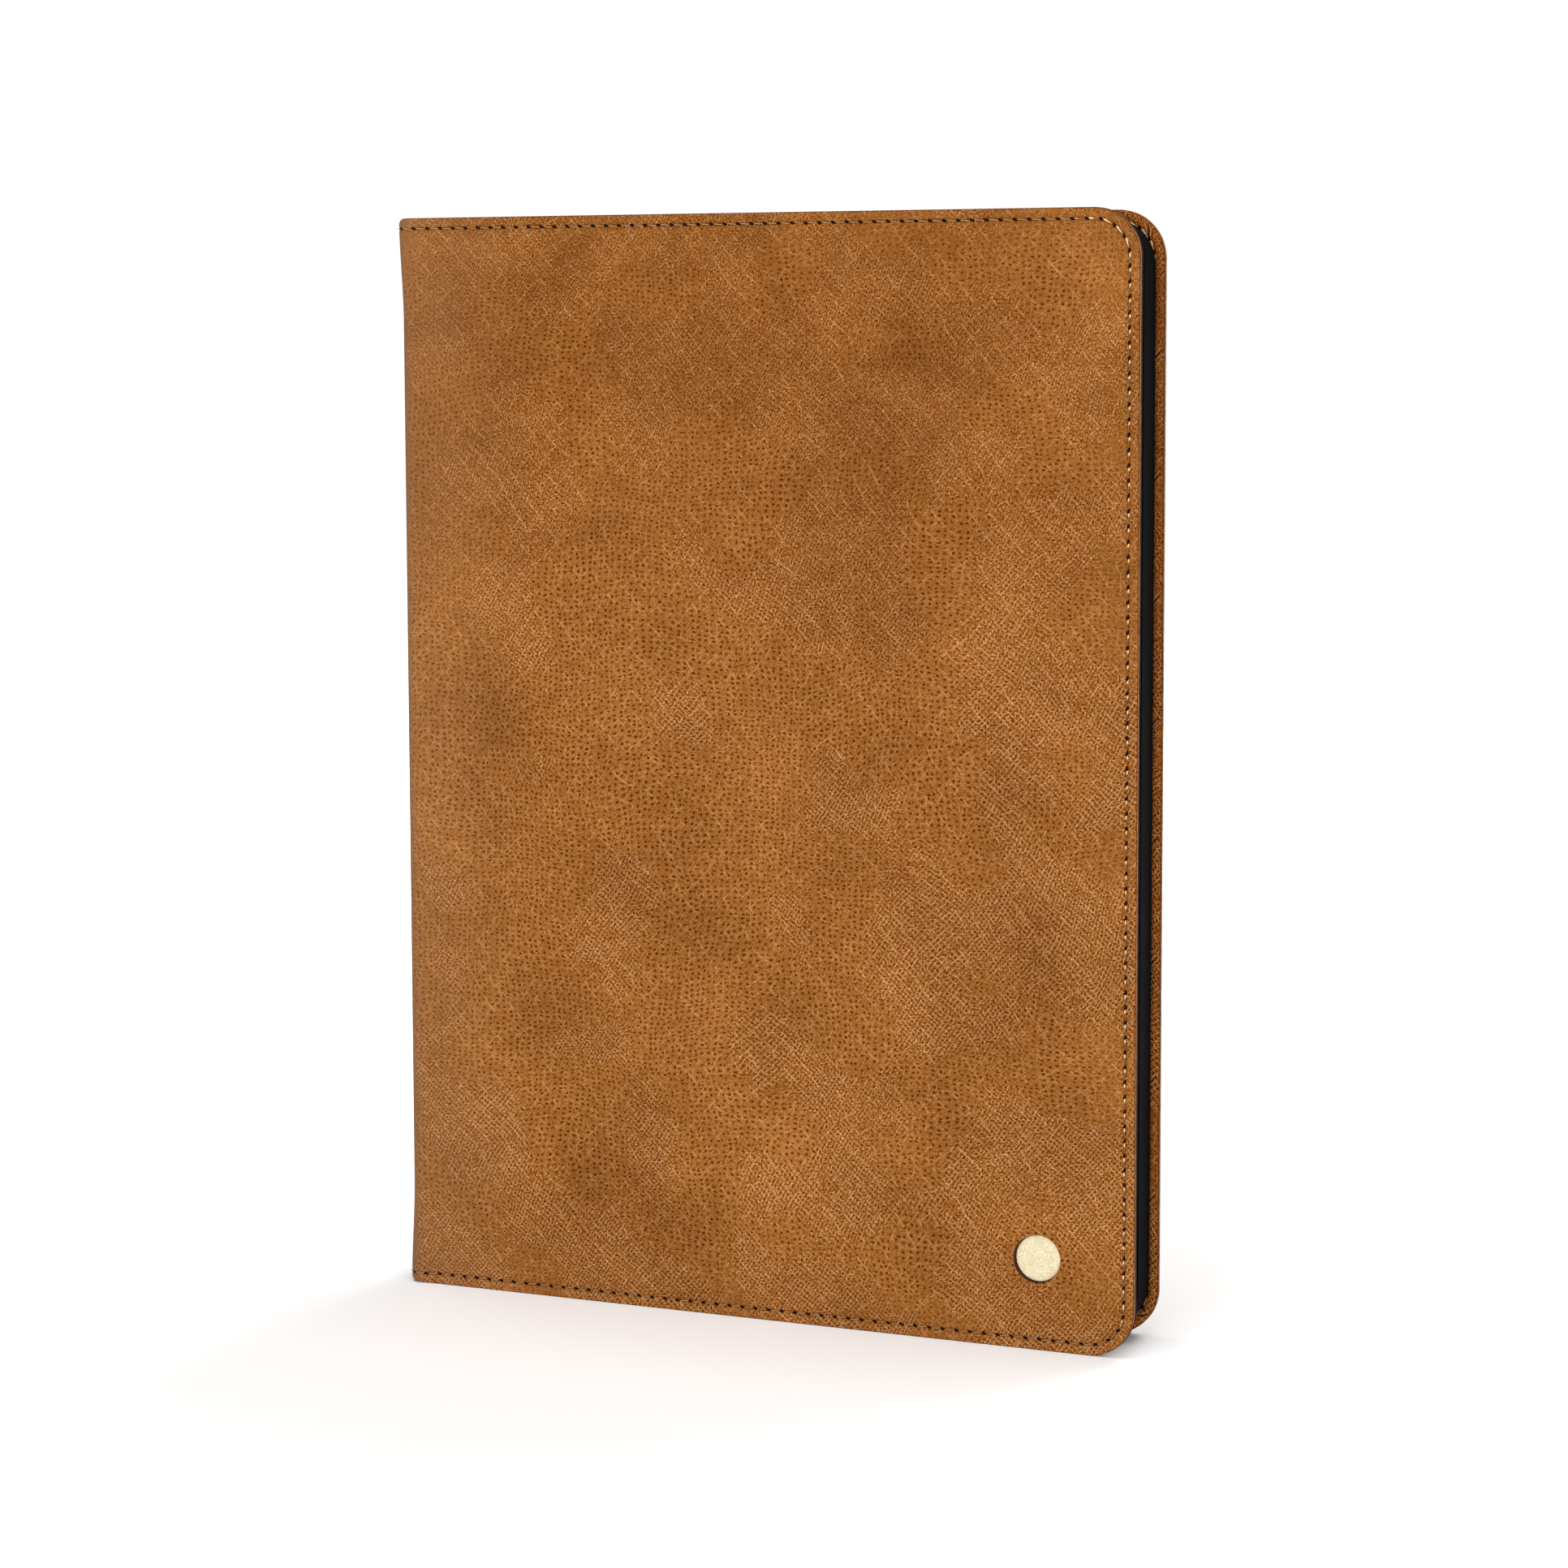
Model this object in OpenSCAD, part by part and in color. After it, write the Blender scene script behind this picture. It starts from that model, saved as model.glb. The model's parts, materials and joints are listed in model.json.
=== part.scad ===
// Leather folio cover with a moulded tray, standing on its lower edges.
// X runs from the spine to the fore edge, Y from the front cover to the rear cover, Z up.
// The rear cover lies square to the axes, and the front cover stands open by rest_opening.

/* [Tablet] */
// Height of the slab that the tray holds
tablet_h = 250.6; // [200:0.1:290]
// Width of the slab that the tray holds
tablet_w = 174.1; // [130:0.1:220]
// Thickness of the slab that the tray holds
tablet_t = 7.5; // [6:0.1:11]

/* [Tray] */
// Room between the slab and each wall of the tray
tray_fit = 0.3; // [0.1:0.1:0.6]
// Thickness of the tray's side walls
tray_wall = 1.6; // [1.2:0.1:2.4]
// Thickness of the tray's floor
tray_floor = 1.0; // [0.8:0.1:1.6]
// Outer radius of the tray's corners
tray_corner_r = 11; // [8:0.5:16]
// How far each corner lip reaches over the slab
lip_over = 0.9; // [0.5:0.1:1.5]
// Thickness of the corner lips
lip_t = 0.8; // [0.6:0.1:1.2]
// Length of each corner lip along both walls
lip_len = 24; // [16:1:34]
// Thickness of the adhesive sheet under the tray
bond_t = 0.2; // [0.1:0.1:0.4]
// Width of the charging slot in the lower wall
port_w = 14; // [10:1:24]
// Width of one speaker slot
speaker_w = 16; // [8:1:24]

/* [Cover] */
// Leather showing round the tray at the fore edge, the top and the bottom
tray_margin = 1.8; // [1.5:0.1:5]
// Distance that the front cover reaches past the rear cover
front_overhang = 0.5; // [0:0.1:3]
// Corner radius of both covers at the fore edge
corner_r = 11; // [8:0.5:20]
// Angle that the front cover stands open, in degrees
rest_opening = 2.4; // [0:0.1:10]
// Gap between the front lining and the tray's lips when the folio is shut
closed_gap = 0.4; // [0.3:0.1:1]

/* [Layers] */
// Thickness of the outer leather
leather_t = 1.2; // [1:0.1:1.6]
// Thickness of the stiffening boards
board_t = 1.0; // [0.8:0.1:1.4]
// Thickness of the leather lining
lining_t = 1.2; // [1:0.1:1.6]
// Width of the thin border outside the boards
rim_w = 4; // [3.5:0.1:6]

/* [Seam] */
// Distance from the cut edge to the stitch line
seam_inset = 2.5; // [2:0.1:3]
// Width of the thread
thread_w = 0.6; // [0.4:0.1:0.8]
// Depth of the thread's groove
thread_d = 0.25; // [0.15:0.05:0.4]

/* [Folds] */
// Gap between a cover's end and the rolled leather of the fold
fold_gap = 0.3; // [0.2:0.1:0.6]
// Distance from a fold's axis to the nearest board
board_start = 4.4; // [3.6:0.1:6]

/* [Emblem] */
// Diameter of the round window cut in the front leather
emblem_d = 10.7; // [8:0.1:16]
// Distance from the fore edge to the middle of the emblem
emblem_from_edge = 22.7; // [18:0.1:60]
// Height of the middle of the emblem
emblem_from_base = 21.4; // [16:0.1:60]
// Depth of the inlay below the face of the leather
emblem_sunk = 0.45; // [0.2:0.05:0.7]

/* [Magnets] */
// Diameter of the closure magnets in the front board
magnet_d = 8; // [5:0.5:12]
// Distance from the fore edge to the middle of the magnets
magnet_from_edge = 12; // [10:0.5:20]
// Number of closure magnets
magnet_count = 4; // [2:1:6]
// Distance between neighbouring magnets
magnet_pitch = 46; // [20:1:50]

/* [Hidden] */
$fn = 96;

// A cover's depth is measured from its outer face inwards.
step_d = board_t / 2;
parting_d = leather_t + step_d;
cover_t = leather_t + board_t + lining_t;
half_t = cover_t / 2;

tray_h = tablet_h + 2 * (tray_fit + tray_wall);
tray_w = tablet_w + 2 * (tray_fit + tray_wall);
tray_d = tray_floor + tablet_t + tray_fit / 3 + lip_t;
tray_base_d = cover_t + bond_t;
cover_h = tray_h + 2 * tray_margin;

// The folds' axes run along Z, in the middle of the thickness of the spine and of the covers.
fold_x = half_t;
tray_start = half_t + 1.8;
rear_reach = tray_start + tray_w + tray_margin;
front_reach = rear_reach + front_overhang;
fold_span = cover_t + bond_t + tray_d + closed_gap;
cover_start = half_t + fold_gap;
board_inset = rim_w + 0.6;

// Where the rear fold stands, so that the whole object is centred on X and Y.
far_x = front_reach * cos(rest_opening) + (half_t - step_d) * sin(rest_opening);
near_y = (front_reach - rim_w) * sin(rest_opening) + half_t * cos(rest_opening);
depth = half_t + fold_span + near_y;
rear_fold = [fold_x - (fold_x + far_x) / 2, depth / 2 - half_t];
front_fold = rear_fold - [0, fold_span];
past = 1;

// Outline of a cover: square at the fold and round at the fore edge.
module cover_outline(reach, start, inset, fold_trim = 0) {
  r = corner_r - inset;
  far = reach - inset;
  near = start - fold_trim;
  translate([near, inset]) square([far - r - near, cover_h - 2 * inset]);
  translate([near, inset + r]) square([far - near, cover_h - 2 * (inset + r)]);
  for (z = [inset + r, cover_h - inset - r])
    translate([far - r, z]) circle(r);
}

// Slab of a cover between two depths.
module slab(reach, start, inset, from_d, to_d) {
  translate([0, 0, from_d]) linear_extrude(to_d - from_d) cover_outline(reach, start, inset);
}

// Band that the thread fills, round the three open sides of a cover.
module seam_band(reach, from_d, to_d) {
  translate([0, 0, from_d]) linear_extrude(to_d - from_d) difference() {
    cover_outline(reach, cover_start, seam_inset - thread_w / 2);
    cover_outline(reach, cover_start, seam_inset + thread_w / 2, past);
  }
}

// Outer leather of a cover: raised over the board, thin at the rim, pocketed for the board.
module outer_sheet(reach) {
  difference() {
    union() {
      slab(reach, cover_start, 0, step_d, parting_d);
      slab(reach, cover_start, rim_w, 0, parting_d);
    }
    slab(reach, board_start, board_inset, leather_t, parting_d + past);
    seam_band(reach, step_d - past, step_d + thread_d);
  }
}

// Lining of a cover, the mirror of the outer leather behind the parting plane.
module inner_sheet(reach) {
  face_d = cover_t - step_d;
  difference() {
    union() {
      slab(reach, cover_start, 0, parting_d, face_d);
      slab(reach, cover_start, rim_w, parting_d, cover_t);
    }
    slab(reach, board_start, board_inset, parting_d - past, leather_t + board_t);
    seam_band(reach, face_d - thread_d, face_d + past);
  }
}

module board_sheet(reach) {
  slab(reach, board_start, board_inset, leather_t, leather_t + board_t);
}

module thread_bands(reach) {
  seam_band(reach, step_d, step_d + thread_d);
  seam_band(reach, cover_t - step_d - thread_d, cover_t - step_d);
}

// Lays a cover drawn in reach, height and depth at the rear fold, outer face to +Y.
module at_rear() {
  translate([rear_fold[0], rear_fold[1] + half_t, 0]) rotate([90, 0, 0]) children();
}

// Lays a cover at the front fold, outer face to -Y, standing open by rest_opening.
module at_front() {
  translate([front_fold[0], front_fold[1], 0])
    rotate([0, 0, -rest_opening])
      mirror([0, 1, 0])
        translate([0, half_t, 0]) rotate([90, 0, 0]) children();
}

// Block of the spine, from its outer face inwards and between two insets from the folds.
module spine_block(from_d, to_d, fold_inset, edge_inset) {
  translate([front_fold[0] - half_t + from_d, front_fold[1] + fold_inset, edge_inset])
    cube([to_d - from_d, fold_span - 2 * fold_inset, cover_h - 2 * edge_inset]);
}

// Rolled leather of one fold.
module fold_roll(fold) {
  translate([fold[0], fold[1], 0]) cylinder(h = cover_h, r = half_t);
}

module emblem_post(d, from_d, to_d) {
  translate([front_reach - emblem_from_edge, emblem_from_base, from_d])
    cylinder(h = to_d - from_d, d = d);
}

module magnet_posts(d, from_d, to_d) {
  first_z = cover_h / 2 - magnet_pitch * (magnet_count - 1) / 2;
  for (i = [0 : magnet_count - 1])
    translate([front_reach - magnet_from_edge, first_z + i * magnet_pitch, from_d])
      cylinder(h = to_d - from_d, d = d);
}

// Rectangle of the tray, shrunk by inset, with round corners.
module tray_outline(inset) {
  r = tray_corner_r - inset;
  low = [tray_start + inset, tray_margin + inset];
  size = [tray_w - 2 * inset, tray_h - 2 * inset];
  translate([low[0] + r, low[1]]) square([size[0] - 2 * r, size[1]]);
  translate([low[0], low[1] + r]) square([size[0], size[1] - 2 * r]);
  for (x = [r, size[0] - r], z = [r, size[1] - r])
    translate([low[0] + x, low[1] + z]) circle(r);
}

module rear_leather() {
  color("peru") at_rear() outer_sheet(rear_reach);
}

module rear_board() {
  color("dimgray") at_rear() board_sheet(rear_reach);
}

module rear_lining() {
  color("sienna") at_rear() inner_sheet(rear_reach);
}

module rear_stitching() {
  color("wheat") at_rear() thread_bands(rear_reach);
}

module tray_bond() {
  color("gainsboro") at_rear()
    translate([0, 0, cover_t]) linear_extrude(bond_t) tray_outline(rim_w);
}

module tray_shell() {
  floor_d = tray_base_d + tray_floor;
  top_d = tray_base_d + tray_d;
  lip_d = top_d - lip_t;
  middle = tray_start + tray_w / 2;
  slot_t = tablet_t * 0.6;
  slot_d = floor_d + (tablet_t - slot_t) / 2;
  color("black") at_rear() difference() {
    union() {
      difference() {
        translate([0, 0, tray_base_d]) linear_extrude(tray_d) tray_outline(0);
        translate([0, 0, floor_d]) linear_extrude(tray_d) tray_outline(tray_wall);
      }
      // Corner lips that hold the slab in.
      intersection() {
        translate([0, 0, lip_d]) linear_extrude(lip_t) difference() {
          tray_outline(tray_wall / 2);
          tray_outline(tray_wall + lip_over);
        }
        union() for (x = [tray_start, tray_start + tray_w - lip_len])
          for (z = [tray_margin, tray_margin + tray_h - lip_len])
            translate([x, z, lip_d - past]) cube([lip_len, lip_len, lip_t + 2 * past]);
      }
    }
    // Charging slot in the lower wall.
    translate([middle - port_w / 2, tray_margin - past, slot_d])
      cube([port_w, tray_wall + 2 * past, slot_t]);
    // Two speaker slots in the lower wall and two in the upper one.
    for (side = [-1, 1], z = [tray_margin, tray_margin + tray_h - tray_wall])
      translate([middle + side * tray_w / 4 - speaker_w / 2, z - past, slot_d])
        cube([speaker_w, tray_wall + 2 * past, slot_t]);
  }
}

module spine_leather() {
  color("peru") difference() {
    union() {
      spine_block(0, parting_d, 0, 0);
      fold_roll(front_fold);
      fold_roll(rear_fold);
    }
    spine_block(parting_d, cover_t + past, 0, -past);
    spine_block(leather_t, parting_d + past, board_start - cover_start, board_inset);
    for (z = [seam_inset, cover_h - seam_inset])
      translate([-past, 0, z - thread_w / 2]) spine_thread(thread_d + past);
  }
}

module spine_board() {
  color("dimgray") spine_block(leather_t, leather_t + board_t, board_start - cover_start, board_inset);
}

module spine_lining() {
  color("sienna") difference() {
    spine_block(parting_d, cover_t, 0, 0);
    spine_block(parting_d - past, leather_t + board_t, board_start - cover_start, board_inset);
  }
}

// Strip of thread across the spine's outer face, between the two folds.
module spine_thread(thread_depth) {
  translate([front_fold[0] - half_t, front_fold[1], 0])
    cube([thread_depth, fold_span, thread_w]);
}

module spine_stitching() {
  color("wheat") for (z = [seam_inset, cover_h - seam_inset])
    translate([0, 0, z - thread_w / 2]) spine_thread(thread_d);
}

module front_leather() {
  color("peru") at_front() difference() {
    outer_sheet(front_reach);
    emblem_post(emblem_d, -past, leather_t + past);
  }
}

module front_board() {
  color("dimgray") at_front() difference() {
    board_sheet(front_reach);
    magnet_posts(magnet_d, leather_t - past, leather_t + board_t + past);
  }
}

module front_lining() {
  color("sienna") at_front() inner_sheet(front_reach);
}

module front_stitching() {
  color("wheat") at_front() thread_bands(front_reach);
}

module front_magnets() {
  color("silver") at_front() magnet_posts(magnet_d, leather_t, leather_t + board_t);
}

module emblem_inlay() {
  color("cornsilk") at_front() emblem_post(emblem_d, emblem_sunk, leather_t);
}

rear_leather();
rear_board();
rear_lining();
rear_stitching();
tray_bond();
tray_shell();
spine_leather();
spine_board();
spine_lining();
spine_stitching();
front_leather();
front_board();
front_lining();
front_stitching();
front_magnets();
emblem_inlay();
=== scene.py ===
import json
import math

import bpy
import numpy as np
from mathutils import Matrix, Vector


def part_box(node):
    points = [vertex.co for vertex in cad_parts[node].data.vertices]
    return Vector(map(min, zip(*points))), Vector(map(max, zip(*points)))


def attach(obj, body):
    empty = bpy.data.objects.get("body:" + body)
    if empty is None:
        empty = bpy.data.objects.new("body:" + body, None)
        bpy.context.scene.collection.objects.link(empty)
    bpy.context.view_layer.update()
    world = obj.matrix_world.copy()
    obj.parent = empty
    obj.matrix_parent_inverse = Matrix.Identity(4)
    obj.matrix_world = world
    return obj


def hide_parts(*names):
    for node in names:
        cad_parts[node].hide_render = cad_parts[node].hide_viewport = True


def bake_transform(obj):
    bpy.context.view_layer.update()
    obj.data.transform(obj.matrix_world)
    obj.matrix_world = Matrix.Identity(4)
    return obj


# Looks of a leather folio cover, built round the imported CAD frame. Lengths are in metres.
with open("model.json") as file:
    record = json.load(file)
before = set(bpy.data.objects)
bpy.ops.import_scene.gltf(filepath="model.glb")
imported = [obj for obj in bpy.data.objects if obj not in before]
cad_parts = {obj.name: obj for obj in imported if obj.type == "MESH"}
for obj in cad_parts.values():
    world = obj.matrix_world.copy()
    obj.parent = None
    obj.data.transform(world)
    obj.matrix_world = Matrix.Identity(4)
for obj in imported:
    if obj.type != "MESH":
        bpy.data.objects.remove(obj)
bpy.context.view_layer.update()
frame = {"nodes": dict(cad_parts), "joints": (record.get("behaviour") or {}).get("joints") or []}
MM = 0.001

# Sizes that the frame gives.
JOINTS = {joint["name"]: joint for joint in frame["joints"]}
REAR_FOLD = np.array(JOINTS["spine_fold"]["pos_m"])
FRONT_FOLD = np.array(JOINTS["cover_fold"]["pos_m"])
OPENING = math.radians(-JOINTS["cover_fold"]["range_deg"][0])
SPINE_LOW, SPINE_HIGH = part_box("spine_leather")
_, REAR_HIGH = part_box("rear_leather")
HEIGHT = SPINE_HIGH.z - SPINE_LOW.z
HALF = FRONT_FOLD[0] - SPINE_LOW.x
SPAN = REAR_FOLD[1] - FRONT_FOLD[1]

# Sizes that part.scad shares with this script.
OVERHANG = 0.5 * MM
CORNER = 11.0 * MM
LEATHER = 1.2 * MM
STEP = 0.5 * MM
BOARD_INSET = 4.6 * MM
SEAM_INSET = 2.5 * MM
EMBLEM_R = 5.35 * MM
EMBLEM_SUNK = 0.45 * MM
EMBLEM_FROM_EDGE = 22.7 * MM
EMBLEM_FROM_BASE = 21.4 * MM

# Shape of the folded leather.
FOLD_ZONE = 2.5 * MM
OUTER_RADIUS = 3.0 * MM
MIDDLE_RADIUS = 1.3 * MM
INNER_RADIUS = 0.6 * MM
BLEND_REACH = 3.4 * MM
FOLD_FLARE = 0.32 * MM
FOLD_BOW = 0.85 * MM
END_ROUND = 1.6 * MM
BOARD_START = 1.85 * MM
SHELL_GAP = 0.02 * MM
PARTING_GROOVE = 0.09 * MM
EDGE_NAP = 0.05 * MM

# Relief of a face.
RIM_ROUND = 0.26 * MM
SEAM_DIP = 0.34 * MM
BORDER_SWELL = 0.07 * MM
CROWN = 0.16 * MM
WAVE = 0.035 * MM

# Stitching. The inner rows stop short of the spine by some stitches.
STITCH = 3.35 * MM
INNER_SHORT = 5
THREAD_R = 0.13 * MM
THREAD_SIDES = 8
STITCH_SHARES = np.array([0.0, 0.05, 0.13, 0.25, 0.40, 0.55, 0.70, 0.84, 0.94, 1.0])

# Grid of a wrap. The rings are the distances from a cover's edge at which its grid lines lie, and
# places closer than TOUCH count as one.
RINGS = np.array([0, 0.07, 0.2, 0.45, 0.8, 1.2, 1.6, 1.9, 2.15, 2.35, 2.5, 2.65, 2.85, 3.15,
                  3.55, 4.0, 4.55, 5.3, 6.2, 7.3, 8.6, 9.8, 11.0]) * MM
SPINE_STEP = 0.9 * MM
FOLD_STEP = 0.42 * MM
FIELD_STEP = 2.0 * MM
EMBLEM_BLOCK = 5.0 * MM
EMBLEM_WARP = 10.0 * MM
EMBLEM_LIP = 0.3 * MM
LIP_DEPTH = 0.13 * MM
TOUCH = 1e-6
NOT_ZERO = 1e-9

# Grain and needle holes, in millimetres: the size of a pit's cell, the middle of the coarsest grain,
# the nicks' distance from the edge, and half the length and the width of a hole.
PIT_WIDE = 1.60
PIT_TALL = 1.30
COARSE_CENTRE = (58.0, 112.0, 0.0)
NICK_INSET = 1.5
HOLE_LONG = 0.54
HOLE_WIDE = 0.37


def smooth(low, high, value):
    """Smoothstep of value between low and high."""
    share = np.clip((value - low) / (high - low), 0, 1)
    return share * share * (3 - 2 * share)


def spread(start, end, step):
    """Evenly spaced values from start to end, about step apart."""
    return np.linspace(start, end, max(2, int(round((end - start) / step)) + 1))


def grid_lines(stops, step):
    """Sorted grid lines through every stop, filled in where two stops are far apart."""
    stops = np.unique(np.round(np.array(stops), 7))
    parts = []
    for low, high in zip(stops, stops[1:]):
        parts.append(spread(low, high, step) if high - low > 1.3 * step else np.array([low, high]))
    return np.unique(np.round(np.concatenate(parts), 8))


class Cover:
    """A cover and its half of the spine, seen as one strip that runs from mid-spine to the fore edge."""

    def __init__(self, name, fold, along, out, spine, reach):
        self.name = name
        self.fold = np.array(fold[:2])
        self.along = np.array(along)
        self.out = np.array(out)
        self.spine = np.array(spine)
        self.spine_out = np.array([-1.0, 0.0])
        self.reach = reach
        self.turn = math.acos(float(np.dot(self.out, self.spine_out)))
        self.half_spine = SPAN / 2 - FOLD_ZONE

    def bend(self, offset, radius):
        """Corner, legs and centre of the round fold that lies offset outwards from the fold's axis."""
        matrix = np.stack([self.along, -self.spine], axis=1)
        start, _ = np.linalg.solve(matrix, (self.spine_out - self.out) * offset)
        corner = self.fold + self.out * offset + self.along * start
        trim = radius * math.tan(self.turn / 2)
        leg = FOLD_ZONE - start - trim
        centre = corner + self.along * trim - self.out * radius
        return corner, trim, leg, centre

    def fold_length(self, offset, radius):
        """Length of the face that lies offset outwards, from one side of the fold to the other."""
        _, _, leg, _ = self.bend(offset, radius)
        return 2 * leg + radius * self.turn

    def lay(self, travel, offset, radius, face_length):
        """Points and outward normals at distances from mid-spine along the unrolled face."""
        corner, trim, leg, centre = self.bend(offset, radius)
        length = 2 * leg + radius * self.turn
        travel = np.asarray(travel, float)
        past = travel - self.half_spine
        run = np.clip(past / face_length, 0, 1) * length
        angle = np.clip((run - leg) / radius, 0, self.turn)
        normal = (np.sin(self.turn - angle)[..., None] * self.spine_out
                  + np.sin(angle)[..., None] * self.out) / math.sin(self.turn)
        point = centre + normal * radius
        before = np.clip(leg - run, 0, None) + np.clip(-past, 0, None)
        after = np.clip(run - leg - radius * self.turn, 0, None) + np.clip(past - face_length, 0, None)
        point = point + self.spine * before[..., None] + self.along * after[..., None]
        return point, normal

    def width(self, face_length):
        """Unrolled width, from mid-spine to the fore edge."""
        return self.half_spine + face_length + self.reach - FOLD_ZONE


REAR_REACH = REAR_HIGH.x - REAR_FOLD[0]
FRONT = Cover("front", FRONT_FOLD, (math.cos(OPENING), -math.sin(OPENING)),
              (-math.sin(OPENING), -math.cos(OPENING)), (0.0, 1.0), REAR_REACH + OVERHANG)
REAR = Cover("rear", REAR_FOLD, (1.0, 0.0), (0.0, 1.0), (0.0, -1.0), REAR_REACH)


class Face:
    """The outer (side 1) or inner (side -1) face of a cover."""

    def __init__(self, cover, side):
        self.cover = cover
        self.side = side
        self.offset = side * HALF
        self.radius = OUTER_RADIUS if side > 0 else INNER_RADIUS
        self.length = cover.fold_length(self.offset, self.radius)
        self.width = cover.width(self.length)
        self.straight = HEIGHT / 2 - CORNER
        self.seam_arc = (CORNER - SEAM_INSET) * math.pi / 2
        outer_width = cover.width(cover.fold_length(HALF, OUTER_RADIUS))
        seam_half = self.straight + self.seam_arc + outer_width - CORNER
        self.stitches = round(seam_half / STITCH)
        self.pitch = seam_half / self.stitches

    def place(self, travel, z, depth):
        """Points at a depth below the face."""
        point, normal = self.cover.lay(travel, self.offset, self.radius, self.length)
        inward = -self.side * normal
        flat = point + inward * np.asarray(depth)[..., None]
        return np.concatenate([flat, np.asarray(z, float)[..., None]], axis=-1)

    def place_back(self, travel, z, depth):
        """Points at a depth on the hidden side, where both leathers meet round the fold."""
        middle, _ = self.cover.lay(travel, 0.0, MIDDLE_RADIUS, self.length)
        middle = np.concatenate([middle, np.asarray(z, float)[..., None]], axis=-1)
        share = (depth / HALF)[..., None]
        return self.place(travel, z, np.zeros_like(depth)) * (1 - share) + middle * share

    def round_corners(self, travel, z):
        """Bends a square grid so that its rings follow the round fore-edge corners."""
        far = (travel - (self.width - CORNER)) / CORNER
        above = (np.abs(z - HEIGHT / 2) - self.straight) / CORNER
        inside = (far > 0) & (above > 0)
        ring = np.maximum(far, above)
        low = np.minimum(far, above)
        share = np.where(inside, low / np.where(inside, ring, 1), 0)
        angle = np.where(far >= above, math.pi / 4 * share, math.pi / 2 - math.pi / 4 * share)
        new_travel = np.where(inside, self.width - CORNER + CORNER * ring * np.cos(angle), travel)
        high = self.straight + CORNER * ring * np.sin(angle)
        new_z = np.where(inside, HEIGHT / 2 + np.sign(z - HEIGHT / 2) * high, z)
        return new_travel, new_z, inside, angle

    def edge_distance(self, travel, z):
        """Distance to the nearest open edge, before the corners are rounded."""
        return np.minimum(self.width - travel, HEIGHT / 2 - np.abs(z - HEIGHT / 2))

    def seam_run(self, travel, z, inside, angle):
        """Distance along the seam from the middle of the fore edge, positive upwards."""
        up = np.abs(z - HEIGHT / 2)
        fore = up
        corner = self.straight + (CORNER - SEAM_INSET) * angle
        top = self.straight + self.seam_arc + (self.width - CORNER - travel)
        on_fore = self.width - travel <= HEIGHT / 2 - up
        run = np.where(inside, corner, np.where(on_fore, fore, top))
        return np.where(z < HEIGHT / 2, -run, run)

    def seam_point(self, run, across):
        """Grid position of a point on the seam, at a distance across from the edge."""
        run, across = np.broadcast_arrays(np.asarray(run, float), np.asarray(across, float))
        length = np.abs(run)
        angle = np.clip((length - self.straight) / (CORNER - SEAM_INSET), 0, math.pi / 2)
        radius = CORNER - across
        past = np.clip(length - self.straight - self.seam_arc, 0, None)
        travel = self.width - CORNER + radius * np.cos(angle) - past
        up = np.minimum(length, self.straight) + radius * np.sin(angle)
        return travel, HEIGHT / 2 + np.sign(run) * up


def hump(place, middle, width):
    """Smooth hump, 1 at its middle."""
    return np.exp(-((place - middle) / width) ** 2)


def relief(face, travel, z, edge):
    """Depth of the face below its raised field: rim, seam crease, puffed field and soft waves."""
    lift = np.clip(1 - edge / RIM_ROUND, 0, 1)
    depth = STEP * (1 - smooth(2.7 * MM, 6.4 * MM, edge))
    depth = depth + SEAM_DIP * hump(edge, SEAM_INSET, 0.55 * MM)
    depth = depth - BORDER_SWELL * hump(edge, SEAM_INSET / 2, 0.6 * MM)
    depth = depth + CROWN * (1 - smooth(4 * MM, 26 * MM, edge))
    fold_middle = face.cover.half_spine + face.length / 2
    open_field = smooth(6 * MM, 24 * MM, edge) * smooth(6 * MM, 26 * MM, travel - fold_middle)
    x = travel / MM
    y = z / MM
    wave = np.sin(x / 13.0 + 1.3 * np.sin(y / 31.0)) * np.cos(y / 19.0 + 0.8)
    wave = wave + 0.6 * np.sin(x / 7.3 + y / 11.0 + 2.0) * np.sin(y / 9.1 - x / 17.0)
    depth = depth + WAVE * wave * open_field
    if face.side > 0:
        end = np.minimum(z, HEIGHT - z)
        near_fold = 1 - smooth(1.5 * MM, 9 * MM, np.abs(travel - fold_middle))
        bowed = FOLD_BOW * smooth(0, 25 * MM, end) - FOLD_FLARE
        depth = depth * (1 - near_fold) + bowed * near_fold
        depth = depth + 0.10 * MM * near_fold * hump(end, SEAM_INSET, 0.5 * MM)
        turned = 1 - np.clip(end / END_ROUND, 0, 1)
        depth = depth + 0.8 * END_ROUND * near_fold * (1 - np.sqrt(1 - turned ** 2))
    return depth + RIM_ROUND * (1 - np.sqrt(1 - lift * lift))


def back_depth(face, travel, edge):
    """Depth of the hidden side: thinner where a board lies between the two leathers."""
    fold_start = face.cover.half_spine
    board_start = fold_start + face.length + BOARD_START
    off_fold = (travel > board_start - TOUCH) | (travel < fold_start + TOUCH)
    on_board = (edge > BOARD_INSET - 0.2 * MM) & off_fold
    return np.where(on_board, LEATHER, HALF - SHELL_GAP)


def grid_faces(rows, columns, skip):
    """Quads of a grid of rows by columns, leaving out the cells that skip marks."""
    index = np.arange(rows * columns).reshape(rows, columns)
    quads = np.stack([index[:-1, :-1], index[1:, :-1], index[1:, 1:], index[:-1, 1:]], axis=-1)
    return quads[~skip]


def loop_around(index):
    """Indices round the rim of a block of grid points, in order."""
    return np.concatenate([index[:-1, 0], index[-1, :-1], index[:0:-1, -1], index[0, :0:-1]])


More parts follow.
